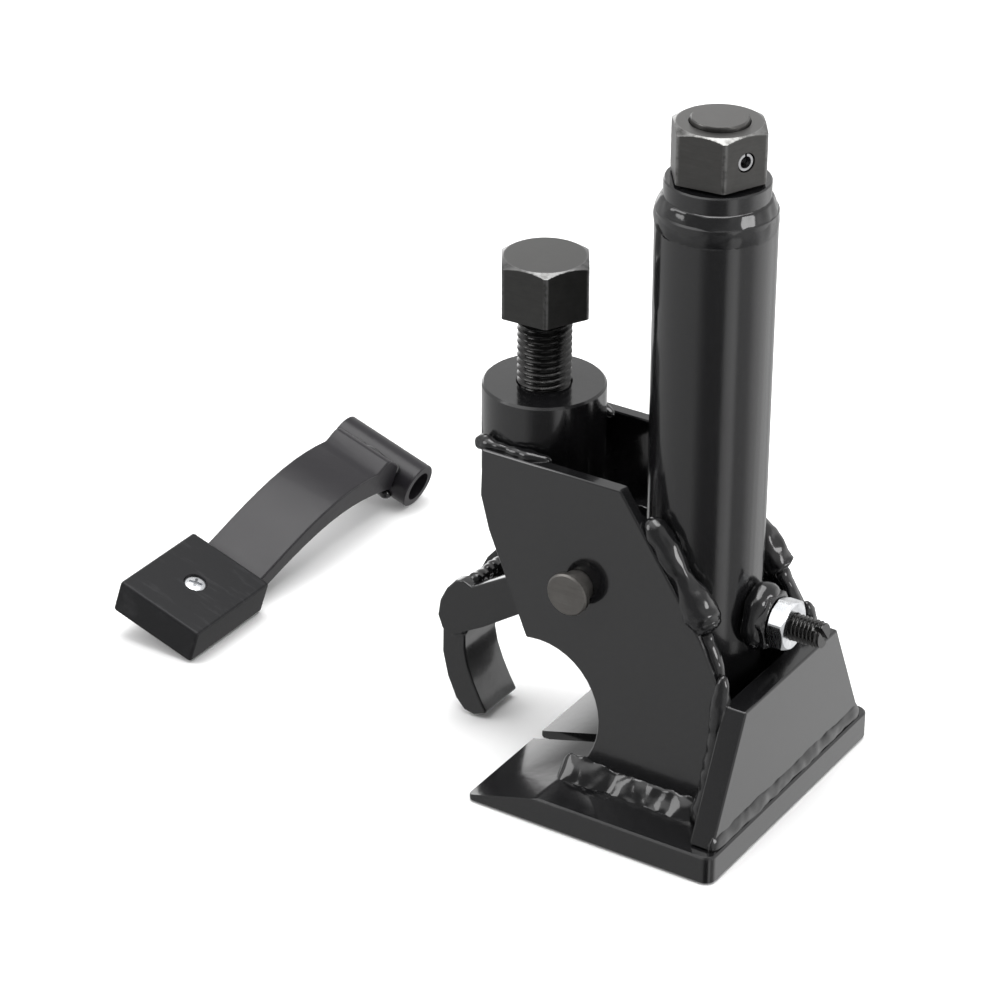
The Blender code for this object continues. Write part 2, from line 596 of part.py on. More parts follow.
def build_spare_arm():
    """Second clamp arm, with a soft pad, lying beside the tool."""
    rest = SPARE_PAD + Vector((0.0, 0.0, SPARE_TUBE_HALF * sin(SPARE_ROLL)))
    axis = add_axis("spare_arm_axis", rest, (SPARE_ROLL, 0.0, pi / 2))
    half = SPARE_BAR_WIDTH / 2
    bar = prism("spare_bar", spare_bar_outline(), -half, half)
    bar = add_object("spare_bar", bar, black_paint(), axis)
    soften(bar, 0.8 * MM, 1, angle=50)
    thread = rod("thread", 2.2 * MM + GAP, -10 * MM, 30 * MM, sides=24)
    boolean(bar, thread, "thread")
    tube = pipe("spare_pivot_tube", SPARE_TUBE_R, PIN_R + GAP, -SPARE_TUBE_HALF,
                SPARE_TUBE_HALF)
    add_object("spare_pivot_tube", along_y(tube, SPARE_LENGTH, SPARE_TUBE_R), black_paint(), axis)
    width, length, height = SPARE_PAD_SIZE
    block = [(-length / 2, -width / 2), (length / 2, -width / 2), (length / 2, width / 2),
             (-length / 2, width / 2)]
    pad = add_object("spare_pad", prism("spare_pad", block, 0.0, height, "XY"), black_nylon(),
                     axis)
    soften(pad, 1.2 * MM, 2)
    wall = half + GAP
    depth = 5.0 * MM + 4.5 * MM + 1.0 * MM
    pocket = [(-16.0 * MM - GAP, -wall), (40 * MM, -wall), (40 * MM, wall),
              (-16.0 * MM - GAP, wall)]
    boolean(pad, prism("pocket", pocket, -5 * MM, depth, "XY"), "pocket")
    head_r = 4.4 * MM
    head_low = height - 3.4 * MM
    sink = rod("sink", head_r + GAP, head_low, height + 5 * MM, sides=32)
    boolean(pad, sink, "sink")
    boolean(pad, rod("shaft", 2.2 * MM + GAP, -5 * MM, height + 5 * MM, sides=24), "shaft")
    profile = [(0.0, 1.5 * MM), (2.2 * MM, 1.5 * MM), (2.2 * MM, head_low + GAP),
               (head_r, head_low + GAP), (head_r, height - 1.0 * MM),
               (head_r * 0.6, height - 0.2 * MM), (0.0, height)]
    add_object("spare_pad_screw", turned("spare_pad_screw", profile, 32), zinc(), axis)


def main():
    clear_scene()
    build_foot()
    build_side_plate("side_plate_left", -1)
    build_side_plate("side_plate_right", 1)
    build_gusset()
    build_tube()
    build_top_bush()
    build_boss()
    build_guide_screw()
    build_drive()
    build_ram()
    build_clamp_bolt()
    build_clamp_arm()
    build_pivot_pin()
    build_spare_arm()


main()
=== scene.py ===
"""Looks of the hand-cranked bead breaker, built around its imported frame."""
import logging
from dataclasses import dataclass
from enum import Enum
from math import copysign, cos, pi, radians, sin, sqrt, tan
from typing import Callable, Iterable, Optional, Sequence

import bmesh
import bpy
from mathutils import Matrix, Vector, noise

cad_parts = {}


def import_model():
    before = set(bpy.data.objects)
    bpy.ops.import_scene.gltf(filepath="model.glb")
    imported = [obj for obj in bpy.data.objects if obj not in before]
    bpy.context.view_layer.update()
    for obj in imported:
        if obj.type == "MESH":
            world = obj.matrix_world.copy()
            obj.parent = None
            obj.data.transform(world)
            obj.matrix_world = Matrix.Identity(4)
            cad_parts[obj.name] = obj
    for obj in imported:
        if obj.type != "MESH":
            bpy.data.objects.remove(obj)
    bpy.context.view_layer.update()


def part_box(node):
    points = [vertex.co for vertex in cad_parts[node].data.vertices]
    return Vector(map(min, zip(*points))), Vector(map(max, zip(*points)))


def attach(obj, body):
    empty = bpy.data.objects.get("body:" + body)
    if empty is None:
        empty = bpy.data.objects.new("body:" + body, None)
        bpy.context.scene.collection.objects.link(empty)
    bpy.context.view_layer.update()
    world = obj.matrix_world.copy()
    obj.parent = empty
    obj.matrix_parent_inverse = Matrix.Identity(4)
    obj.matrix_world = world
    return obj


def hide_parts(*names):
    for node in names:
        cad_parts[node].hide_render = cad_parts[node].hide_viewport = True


LOG = logging.getLogger("bead_breaker")
MM = 0.001

BOLT_X = -66.3 * MM
BOLT_TOP_Z = 189.0 * MM
DRIVE_FACE_Z = 253.8 * MM
SPANNER_SIZE = 30.0 * MM
GUIDE_BORE = 5.05 * MM
ROUND_ANGLE = 40.0
CLOSE_GAP = 2e-7
PACKED_GAP = 2e-6
SIDES = ((-1, "left"), (1, "right"))


class Body(Enum):
    """Moving bodies of the tool."""

    FRAME = "frame"
    DRIVE = "drive"
    RAM = "ram"
    CLAMP_BOLT = "clamp_bolt"
    CLAMP_ARM = "clamp_arm"
    PIVOT_PIN = "pivot_pin"
    SPARE_ARM = "spare_arm"


class Slot(Enum):
    """Material slots of the record."""

    PAINT = "black_paint"
    OXIDE = "black_oxide"
    STEEL = "bright_steel"
    ZINC = "zinc"
    NYLON = "black_nylon"
    BRONZE = "bronze"


# ------------------------------------------------------------------ shader maths
class Value:
    """A shader socket that can be added, scaled and mixed like a number."""

    def __init__(self, tree: bpy.types.NodeTree, socket: bpy.types.NodeSocket) -> None:
        """Wrap a socket of a node tree."""
        self.tree = tree
        self.socket = socket

    def _maths(self, operation: str, other: "Value | float", swap: bool = False) -> "Value":
        """Add a Math node.

        Args:
            operation: the Math node's operation.
            other: the second number or socket.
            swap: puts the other value first.

        Returns:
            The Math node's result.
        """
        node = self.tree.nodes.new("ShaderNodeMath")
        node.operation = operation
        pair = (other, self) if swap else (self, other)
        for place, item in enumerate(pair):
            if isinstance(item, Value):
                self.tree.links.new(item.socket, node.inputs[place])
            else:
                node.inputs[place].default_value = item
        return Value(self.tree, node.outputs[0])

    def __add__(self, other: "Value | float") -> "Value":
        """Sum."""
        return self._maths("ADD", other)

    __radd__ = __add__

    def __mul__(self, other: "Value | float") -> "Value":
        """Product."""
        return self._maths("MULTIPLY", other)

    __rmul__ = __mul__

    def __sub__(self, other: "Value | float") -> "Value":
        """Difference."""
        return self._maths("SUBTRACT", other)

    def __rsub__(self, other: "Value | float") -> "Value":
        """Difference, with the other value first."""
        return self._maths("SUBTRACT", other, swap=True)

    def most(self, other: "Value | float") -> "Value":
        """Larger of two values."""
        return self._maths("MAXIMUM", other)


class Graph:
    """A node tree under construction."""

    def __init__(self, tree: bpy.types.NodeTree) -> None:
        """Work on a node tree."""
        self.tree = tree

    def node(self, kind: str, settings: Optional[dict] = None,
             **sockets: object) -> bpy.types.Node:
        """Add any node.

        Args:
            kind: node type.
            settings: attributes that are set before the sockets.
            sockets: values or links by socket name, with spaces as underscores.

        Returns:
            The new node.
        """
        made = self.tree.nodes.new(kind)
        for key, setting in (settings or {}).items():
            setattr(made, key, setting)
        for key, item in sockets.items():
            socket = made.inputs[key.replace("_", " ")]
            if isinstance(item, Value):
                self.tree.links.new(item.socket, socket)
            else:
                socket.default_value = item
        return made

    def value(self, node: bpy.types.Node, output: str | int = 0) -> Value:
        """Wrap one output of a node."""
        return Value(self.tree, node.outputs[output])

    def ramp(self, factor: Value, low: float, high: float, soft: bool = False) -> Value:
        """Clamp a value to 0..1 between two limits.

        Args:
            factor: the value.
            low: what becomes 0.
            high: what becomes 1.
            soft: eases in and out.

        Returns:
            The clamped value.
        """
        settings = {"clamp": True}
        if soft:
            settings["interpolation_type"] = "SMOOTHSTEP"
        made = self.node("ShaderNodeMapRange", settings, Value=factor, From_Min=low,
                         From_Max=high)
        return self.value(made)


class Recipe(Graph):
    """A material under construction."""

    def __init__(self, name: str) -> None:
        """Start a material that has only its Principled shader."""
        self.material = bpy.data.materials.new(name)
        self.material.use_nodes = True
        super().__init__(self.material.node_tree)
        self.shader = self.tree.nodes["Principled BSDF"]

    def place(self) -> Value:
        """Object coordinates, in metres."""
        return self.value(self.node("ShaderNodeTexCoord"), "Object")

    def grain(self, scale: float, detail: float = 2.0, rough: float = 0.5,
              stretch: Optional[tuple[float, float, float]] = None) -> Value:
        """Noise over the piece.

        Args:
            scale: features per metre.
            detail: octaves.
            rough: roughness of the octaves.
            stretch: scale along each axis, for brushed marks.

        Returns:
            The noise, about 0.5.
        """
        where = self.place()
        if stretch:
            mapping = self.node("ShaderNodeMapping", None, Vector=where, Scale=stretch)
            where = self.value(mapping)
        made = self.node("ShaderNodeTexNoise", None, Vector=where, Scale=scale, Detail=detail,
                         Roughness=rough)
        return self.value(made)

    def wear(self) -> Value:
        """Edge wear that the piece's own mesh carries."""
        made = self.node("ShaderNodeAttribute", {"attribute_name": "wear"})
        return self.value(made, "Fac")

    def blend(self, factor: Value, first: object, second: object) -> Value:
        """Mix two colours.

        Args:
            factor: share of the second colour.
            first: colour or link.
            second: colour or link.

        Returns:
            The mixed colour.
        """
        made = self.tree.nodes.new("ShaderNodeMix")
        made.data_type = "RGBA"
        self.tree.links.new(factor.socket, made.inputs["Factor"])
        colours = [socket for socket in made.inputs if socket.type == "RGBA"]
        for socket, item in zip(colours, (first, second)):
            if isinstance(item, Value):
                self.tree.links.new(item.socket, socket)
            else:
                socket.default_value = (*item, 1.0)
        results = [socket for socket in made.outputs if socket.type == "RGBA"]
        return Value(self.tree, results[0])

    def bump(self, height: Value, depth: float, strength: float = 1.0) -> Value:
        """Normal from a height."""
        made = self.node("ShaderNodeBump", None, Height=height, Distance=depth,
                         Strength=strength)
        return self.value(made)

    def finish(self, constants: dict[str, object], links: dict[str, Value]) -> bpy.types.Material:
        """Set the shader's sockets.

        Args:
            constants: numbers by socket name.
            links: values that change over the surface, by socket name.

        Returns:
            The finished material.
        """
        for key, item in constants.items():
            self.shader.inputs[key].default_value = item
        for key, item in links.items():
            self.tree.links.new(item.socket, self.shader.inputs[key])
        return self.material


# ------------------------------------------------------------------ finishes
@dataclass(frozen=True)
class GlossPaint:
    """Sprayed black enamel over steel, with a fine orange peel and a little dust."""

    name: str
    colour: tuple[float, float, float] = (0.006, 0.006, 0.0065)
    thin: tuple[float, float, float] = (0.16, 0.16, 0.16)
    specular: float = 0.5
    coat: float = 0.25
    roughness: float = 0.15
    peel_depth: float = 0.05 * MM
    wear_amount: float = 0.35

    def build(self) -> bpy.types.Material:
        """Return the enamel."""
        recipe = Recipe(self.name)
        peel = recipe.grain(260.0, 2.0)
        cloud = recipe.grain(38.0, 4.0, 0.6)
        speck = recipe.ramp(recipe.grain(1900.0, 2.0, 0.7), 0.70, 0.80)
        chips = recipe.ramp(recipe.grain(520.0, 3.0, 0.7), 0.46, 0.62)
        worn = recipe.wear() * chips * self.wear_amount
        colour = recipe.blend(worn, self.colour, self.thin)
        colour = recipe.blend(speck * 0.35, colour, (0.09, 0.09, 0.09))
        rough = (cloud - 0.5) * 0.16 + (speck * 0.2 + self.roughness)
        return recipe.finish(
            {"IOR": 1.52, "Specular IOR Level": self.specular, "Coat Weight": self.coat,
             "Coat Roughness": 0.05},
            {"Base Color": colour, "Roughness": rough.most(0.05),
             "Normal": recipe.bump(peel, self.peel_depth, 0.6)})


@dataclass(frozen=True)
class OxideSteel:
    """Blackened machined steel: dull, mottled, rubbed lighter on its edges."""

    name: str
    dark: tuple[float, float, float] = (0.045, 0.044, 0.043)
    light: tuple[float, float, float] = (0.085, 0.083, 0.081)
    rubbed: tuple[float, float, float] = (0.30, 0.30, 0.30)
    roughness: float = 0.38

    def build(self) -> bpy.types.Material:
        """Return the oxide finish."""
        recipe = Recipe(self.name)
        mottle = recipe.grain(150.0, 4.0, 0.65)
        fine = recipe.grain(1400.0, 3.0, 0.6)
        marks = recipe.grain(90.0, 3.0, 0.6, (1.0, 1.0, 14.0))
        tone = recipe.ramp(mottle * 0.6 + marks * 0.4, 0.25, 0.8)
        colour = recipe.blend(tone, self.dark, self.light)
        rub = recipe.wear() * recipe.ramp(recipe.grain(420.0, 2.0), 0.32, 0.55)
        colour = recipe.blend(rub, colour, self.rubbed)
        rough = (mottle - 0.5) * 0.25 + (fine * 0.12 + (self.roughness - 0.06))
        return recipe.finish(
            {"Metallic": 0.88, "IOR": 1.5},
            {"Base Color": colour, "Roughness": rough.most(0.12),
             "Normal": recipe.bump(fine, 0.02 * MM, 0.5)})


@dataclass(frozen=True)
class TurnedSteel:
    """Blackened steel with fine tool rings on its top face, about one upright axis."""

    name: str
    face: float
    centre: tuple[float, float, float] = (0.0, 0.0, 0.0)
    dark: tuple[float, float, float] = (0.060, 0.059, 0.057)
    light: tuple[float, float, float] = (0.105, 0.103, 0.100)
    worn: tuple[float, float, float] = (0.30, 0.30, 0.295)
    roughness: float = 0.34
    pitch: float = 0.62 * MM

    def build(self) -> bpy.types.Material:
        """Return the turned finish."""
        recipe = Recipe(self.name)
        shift = tuple(-item for item in self.centre)
        where = recipe.node("ShaderNodeMapping", None, Vector=recipe.place(), Location=shift)
        flat = recipe.node("ShaderNodeVectorMath", {"operation": "MULTIPLY"})
        recipe.tree.links.new(where.outputs[0], flat.inputs[0])
        flat.inputs[1].default_value = (1.0, 1.0, 0.0)
        length = recipe.node("ShaderNodeVectorMath", {"operation": "LENGTH"})
        recipe.tree.links.new(flat.outputs[0], length.inputs[0])
        radius = recipe.value(length, "Value")
        wave = recipe.node("ShaderNodeMath", {"operation": "SINE"})
        recipe.tree.links.new((radius * (2 * pi / self.pitch)).socket, wave.inputs[0])
        height = recipe.node("ShaderNodeSeparateXYZ", None, Vector=recipe.place())
        top = recipe.ramp(recipe.value(height, "Z"), self.face - 0.7 * MM, self.face - 0.3 * MM)
        rings = (recipe.value(wave) * 0.5 + 0.5) * top
        mottle = recipe.grain(260.0, 5.0, 0.7)
        brushed = recipe.grain(110.0, 4.0, 0.7, (1.0, 1.0, 9.0))
        tone = recipe.ramp(rings * 0.35 + mottle * 0.35 + brushed * 0.4, 0.2, 0.95)
        colour = recipe.blend(tone, self.dark, self.light)
        rub = recipe.wear() * recipe.ramp(recipe.grain(420.0, 3.0), 0.3, 0.55)
        colour = recipe.blend(rub, colour, self.worn)
        rough = (mottle - 0.5) * 0.2 + self.roughness
        return recipe.finish(
            {"Metallic": 0.85},
            {"Base Color": colour, "Roughness": rough.most(0.12),
             "Normal": recipe.bump(rings * 0.5 + mottle * 0.3 + brushed * 0.2, 0.02 * MM, 0.5)})


@dataclass(frozen=True)
class BrightMetal:
    """Bare or plated metal: zinc, bright steel or bronze, with faint scratches."""

    name: str
    colour: tuple[float, float, float] = (0.72, 0.73, 0.74)
    shade: tuple[float, float, float] = (0.50, 0.51, 0.53)
    roughness: float = 0.26

    def build(self) -> bpy.types.Material:
        """Return the metal."""
        recipe = Recipe(self.name)
        cloud = recipe.grain(240.0, 3.0, 0.6)
        scratch = recipe.grain(160.0, 3.0, 0.7, (12.0, 1.0, 1.0))
        colour = recipe.blend(recipe.ramp(cloud, 0.3, 0.7), self.shade, self.colour)
        rough = (scratch - 0.5) * 0.3 + self.roughness
        return recipe.finish(
            {"Metallic": 1.0},
            {"Base Color": colour, "Roughness": rough.most(0.08),
             "Normal": recipe.bump(scratch, 0.012 * MM, 0.4)})


@dataclass(frozen=True)
class MouldedNylon:
    """Black nylon with a fine moulded grain and scuffs."""

    name: str
    colour: tuple[float, float, float] = (0.008, 0.008, 0.009)
    scuffed: tuple[float, float, float] = (0.035, 0.035, 0.037)

    def build(self) -> bpy.types.Material:
        """Return the nylon."""
        recipe = Recipe(self.name)
        grit = recipe.grain(2300.0, 2.0, 0.6)
        scuff = recipe.ramp(recipe.grain(60.0, 4.0, 0.75, (1.0, 5.0, 1.0)), 0.52, 0.75)
        colour = recipe.blend(scuff * 0.5, self.colour, self.scuffed)
        return recipe.finish(
            {"IOR": 1.5, "Specular IOR Level": 0.18},
            {"Base Color": colour, "Roughness": scuff * 0.12 + (grit * 0.1 + 0.36),
             "Normal": recipe.bump(grit, 0.03 * MM, 0.5)})


@dataclass(frozen=True)
class PaleFloor:
    """Plain pale studio floor with a barely visible mottle."""

    name: str = "pale_floor"
    colour: tuple[float, float, float] = (0.86, 0.86, 0.86)

    def build(self) -> bpy.types.Material:
        """Return the floor."""
        recipe = Recipe(self.name)
        cloud = recipe.grain(5.0, 3.0)
        shade = tuple(item * 0.985 for item in self.colour)
        colour = recipe.blend(cloud, self.colour, shade)
        return recipe.finish({"Roughness": 0.85, "Specular IOR Level": 0.15},
                             {"Base Color": colour})


@dataclass
class Finishes:
    """Every finish on the tool, built once."""

    paint: bpy.types.Material
    weld_paint: bpy.types.Material
    satin: bpy.types.Material
    bolt_face: bpy.types.Material
    screw_end: bpy.types.Material
    thread: bpy.types.Material
    pin: bpy.types.Material
    steel: bpy.types.Material
    zinc: bpy.types.Material
    nylon: bpy.types.Material
    bronze: bpy.types.Material

    @classmethod
    def make(cls, bolt_axis: Vector) -> "Finishes":
        """Build the finishes.

        Args:
            bolt_axis: top of the clamp bolt's axis.

        Returns:
            The set of materials.
        """
        return cls(
            paint=GlossPaint("gloss_black_enamel").build(),
            weld_paint=GlossPaint("enamel_over_weld", roughness=0.13, specular=0.42, coat=0.15,
                                  peel_depth=0.10 * MM).build(),
            satin=GlossPaint("satin_black_paint", colour=(0.012, 0.011, 0.013),
                             roughness=0.36, peel_depth=0.10 * MM, specular=0.22,
                             coat=0.04).build(),
            bolt_face=TurnedSteel("bolt_oxide", bolt_axis.z, tuple(bolt_axis),
                                  dark=(0.040, 0.040, 0.039), light=(0.070, 0.069, 0.067),
                                  worn=(0.20, 0.20, 0.20)).build(),
            screw_end=TurnedSteel("drive_oxide", DRIVE_FACE_Z).build(),
            thread=OxideSteel("oiled_thread", dark=(0.024, 0.024, 0.024),
                              light=(0.060, 0.059, 0.058), roughness=0.24).build(),
            pin=OxideSteel("rubbed_pin_steel", dark=(0.105, 0.100, 0.094),
                           light=(0.17, 0.163, 0.155), roughness=0.42).build(),
            steel=BrightMetal("bright_steel_bar", colour=(0.56, 0.56, 0.57),
                              shade=(0.40, 0.40, 0.41), roughness=0.30).build(),
            zinc=BrightMetal("bright_zinc").build(),
            nylon=MouldedNylon("black_nylon_pad").build(),
            bronze=BrightMetal("bearing_bronze", colour=(0.55, 0.37, 0.17),
                               shade=(0.40, 0.26, 0.11), roughness=0.35).build())


# ------------------------------------------------------------------ mesh tools
Level = Callable[[float], tuple[float, float, float]]


def link_object(name: str, mesh: bpy.types.Mesh) -> bpy.types.Object:
    """Link a mesh to the scene as an object at the origin."""
    made = bpy.data.objects.new(name, mesh)
    bpy.context.scene.collection.objects.link(made)
    return made


def smooth(mesh: bpy.types.Mesh, angle_deg: float) -> None:
    """Shade a mesh smooth except across edges sharper than an angle."""
    mesh.shade_smooth()
    mesh.set_sharp_from_angle(angle=radians(angle_deg))


def to_object(builder: bmesh.types.BMesh, name: str, angle_deg: float = 35.0) -> bpy.types.Object:
    """Turn a finished bmesh into an object.

    Args:
        builder: bmesh, which is freed.
        name: name of the object and its mesh.
        angle_deg: edges sharper than this stay sharp.

    Returns:
        The object, at the origin.
    """
    mesh = bpy.data.meshes.new(name)
    builder.to_mesh(mesh)
    builder.free()
    smooth(mesh, angle_deg)
    return link_object(name, mesh)


def loft(name: str, levels: Sequence[Level], around: int, loop: bool = False,
         angle_deg: float = 35.0) -> bpy.types.Object:
    """Build a tube-like skin from a grid: one closed ring for each level.

    Args:
        name: object name.
        levels: functions from an angle to a place, one for each ring.
        around: number of sides.
        loop: joins the last ring to the first, as for a hollow ring.
        angle_deg: edges sharper than this stay sharp.

    Returns:
        The closed object.
    """
    builder = bmesh.new()
    count = len(levels)
    bmesh.ops.create_grid(builder, x_segments=count - 1, y_segments=around, size=0.5)
    for vert in builder.verts:
        level = round((vert.co.x + 0.5) * (count - 1))
        share = round((vert.co.y + 0.5) * around) % around
        vert.co = levels[level](2 * pi * share / around)
    bmesh.ops.remove_doubles(builder, verts=builder.verts, dist=CLOSE_GAP)
    if loop:
        rims = [edge for edge in builder.edges if edge.is_boundary]
        if rims:
            bmesh.ops.bridge_loops(builder, edges=rims)
    else:
        bmesh.ops.holes_fill(builder, edges=[e for e in builder.edges if e.is_boundary], sides=0)
    bmesh.ops.recalc_face_normals(builder, faces=builder.faces)
    return to_object(builder, name, angle_deg)


def ring(radius: float, height: float, centre: Vector = Vector((0, 0, 0)),
         turn: float = 0.0) -> Level:
    """Round ring about an upright axis, at a height."""
    return lambda a: (centre.x + radius * cos(a + turn), centre.y + radius * sin(a + turn),
                      height)


def apply_modifiers(item: bpy.types.Object) -> None:
    """Replace an object's mesh with what its modifiers make of it."""
    graph = bpy.context.evaluated_depsgraph_get()
    graph.update()
    mesh = bpy.data.meshes.new_from_object(item.evaluated_get(graph))
    item.modifiers.clear()
    item.data = mesh


def cut(item: bpy.types.Object, cutters: Iterable[bpy.types.Object],
        angle_deg: float = 35.0) -> None:
    """Cut an object with others.

    Args:
        item: object that is cut.
        cutters: objects that cut it and are then removed.
        angle_deg: edges sharper than this stay sharp.
    """
    tools = list(cutters)
    for tool in tools:
        step = item.modifiers.new(tool.name, "BOOLEAN")
        step.operation = "DIFFERENCE"
        step.solver = "EXACT"
        step.object = tool
    apply_modifiers(item)
    for tool in tools:
        bpy.data.objects.remove(tool, do_unlink=True)
    smooth(item.data, angle_deg)


def cylinder(name: str, radius: float, length: float, matrix: Matrix,
             sides: int = 40) -> bpy.types.Object:
    """Make a plain round cutter.

    Args:
        name: object name.
        radius: its radius.
        length: its length, along the matrix's Z.
        matrix: its middle and direction.
        sides: number of sides.

    Returns:
        The cutter.
    """
    builder = bmesh.new()
    bmesh.ops.create_cone(builder, cap_ends=True, segments=sides, radius1=radius,
                          radius2=radius, depth=length, matrix=matrix)
    return to_object(builder, name)


def mark_wear(item: bpy.types.Object, rule: Callable[[Vector], float]) -> None:
    """Store edge wear at each vertex.

    Args:
        item: piece that wears.
        rule: gives the wear, from 0 to 1, at a place.
    """
    mesh = item.data
    layer = mesh.attributes.get("wear") or mesh.attributes.new("wear", "FLOAT", "POINT")
    for vert in mesh.vertices:
        layer.data[vert.index].value = rule(vert.co)


def place_piece(item: bpy.types.Object, body: Body, finish: bpy.types.Material,
                stands_for: Sequence[str] = ()) -> None:
    """Dress a piece, put it on its body and log it.

    Args:
        item: finished piece.
        body: body that it rides on.
        finish: material.
        stands_for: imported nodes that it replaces.
    """
    item.data.materials.clear()
    item.data.materials.append(finish)
    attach(item, body.value)
    if stands_for:
        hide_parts(*stands_for)
    LOG.info("%s: %d faces on %s", item.name, len(item.data.polygons), body.value)


def clean_copy(node: str, name: str, bevel: float, angle_deg: float) -> bpy.types.Object:
    """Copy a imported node, merge its triangles into clean faces and soften its edges.

    Args:
        node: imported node.
        name: name of the copy.
        bevel: width of the rounded edges, or 0.
        angle_deg: edges sharper than this stay sharp, or are rounded.

    Returns:
        The copy, at the origin.
    """
    source = bpy.data.objects[node].data
    builder = bmesh.new()
    builder.from_mesh(source)
    bmesh.ops.remove_doubles(builder, verts=builder.verts, dist=PACKED_GAP)
    bmesh.ops.dissolve_limit(builder, angle_limit=radians(1.0), verts=builder.verts,
                             edges=builder.edges)
    if bevel:
        sharp = [edge for edge in builder.edges
                 if edge.is_manifold and edge.calc_face_angle(0.0) > radians(angle_deg)]
        bmesh.ops.bevel(builder, geom=sharp, offset=bevel, offset_type="OFFSET", segments=2,
                        profile=0.5, affect="EDGES", material=-1, clamp_overlap=True)
    item = to_object(builder, name, angle_deg)
    step = item.modifiers.new("flat_faces", "WEIGHTED_NORMAL")
    step.mode = "FACE_AREA_WITH_ANGLE"
    step.keep_sharp = True
    return item


def redress(node: str, name: str, body: Body, finish: bpy.types.Material,
            angle_deg: float = ROUND_ANGLE, bevel: float = 0.0) -> None:
    """Let a clean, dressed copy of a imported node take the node's place.

    Args:
        node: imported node.
        name: name of the copy.
        body: body that it rides on.
        finish: material.
        angle_deg: edges sharper than this stay sharp, or are rounded.
        bevel: width of the rounded edges, or 0.
    """
    place_piece(clean_copy(node, name, bevel, angle_deg), body, finish, [node])


# ------------------------------------------------------------------ weld beads
def on_side(side: int, *points: tuple[float, float, float]) -> list[tuple[float, float, float]]:
    """Points in millimetres, as places on the left (-1) or right (1) side in metres."""
    return [(x * MM, side * y * MM, z * MM) for x, y, z in points]


@dataclass
class WeldBead:
    """A lumpy run of weld along a few guide points."""

    name: str
    path: Sequence[tuple[float, float, float]]
    across: float
    tall: float
    up: tuple[float, float, float] = (0.0, 0.0, 1.0)
    pitch: float = 4.2 * MM
    ripple: float = 0.12
    lump: float = 0.16
    seed: float = 0.0
    sides: int = 16
    closed: bool = False
    girth: Sequence[float] = (1.0,)
    corner: float = 2.0
    ring_gap: float = 0.75 * MM
    fewest_rings: int = 12
    lump_run: float = 0.009
    grit_run: float = 0.0042
    grit: float = 0.13

    def girth_at(self, share: float) -> float:
        """Relative size of the bead along its run.

        Args:
            share: place along the run, from 0 to 1.

        Returns:
            The size, eased between the values in girth.
        """
        if len(self.girth) == 1:
            return self.girth[0]
        where = min(max(share, 0.0), 1.0) * (len(self.girth) - 1)
        index = min(int(where), len(self.girth) - 2)
        part = where - index
        part = part * part * (3.0 - 2.0 * part)
        return self.girth[index] * (1.0 - part) + self.girth[index + 1] * part

    def centre(self, share: float) -> Vector:
        """Point on a smooth curve through the guide points.

        Args:
            share: place along the run, from 0 to 1.

        Returns:
            The point.
        """
        points = [Vector(point) for point in self.path]
        count = len(points)
        spans = count if self.closed else count - 1
        where = min(max(share, 0.0), 1.0) * spans
        index = min(int(where), spans - 1)
        t = where - index

        def pick(number: int) -> Vector:
            """Guide point by number, past either end too."""
            if self.closed:
                return points[number % count]
            if number < 0:
                return 2 * points[0] - points[1]
            if number >= count:
                return 2 * points[-1] - points[-2]
            return points[number]

        a, b, c, d = (pick(index + k) for k in (-1, 0, 1, 2))
        return 0.5 * ((2 * b) + (c - a) * t + (2 * a - 5 * b + 4 * c - d) * t * t
                      + (3 * b - a - 3 * c + d) * t ** 3)

    def length(self) -> float:
        """Rough length of the run."""
        steps = 60
        marks = [self.centre(k / steps) for k in range(steps + 1)]
        return sum((q - p).length for p, q in zip(marks, marks[1:]))

    def build(self) -> bpy.types.Object:
        """Return the bead as a closed, rippled solid."""
        total = self.length()
        count = max(self.fewest_rings, int(total / self.ring_gap))
        up = Vector(self.up).normalized()

        def level(share: float) -> Level:
            """One ring of the bead."""
            middle = self.centre(share)
            step = 0.004
            along = (self.centre(share + step) - self.centre(share - step)).normalized()
            side = along.cross(up).normalized()
            lift = side.cross(along).normalized()
            run = share * total
            scallop = 1.0 + self.ripple * (abs(sin(pi * run / self.pitch)) - 0.6)
            swell = 1.0 + self.lump * noise.noise(Vector((run / self.lump_run, self.seed, 0.3)))
            taper = 1.0
            if not self.closed:
                edge = min(run, total - run) / max(self.across, self.tall)
                taper = sqrt(max(0.0, 1.0 - (1.0 - min(edge + 0.03, 1.0)) ** 2))

            power = 2.0 / self.corner

            def point(angle: float) -> tuple[float, float, float]:
                """Place on the ring at an angle."""
                spot = Vector((run / self.grit_run, 2.0 * cos(angle),
                               2.0 * sin(angle) + self.seed))
                rough = 1.0 + self.grit * noise.noise(spot)
                size = scallop * swell * taper * rough * self.girth_at(share)
                flat = copysign(abs(cos(angle)) ** power, cos(angle))
                tall = copysign(abs(sin(angle)) ** power, sin(angle))
                return tuple(middle + side * (self.across * size * flat)
                             + lift * (self.tall * size * tall))

            return point

        rings = count if self.closed else count + 1
        levels = [level(k / count) for k in range(rings)]
        return loft(self.name, levels, self.sides, loop=self.closed, angle_deg=80.0)


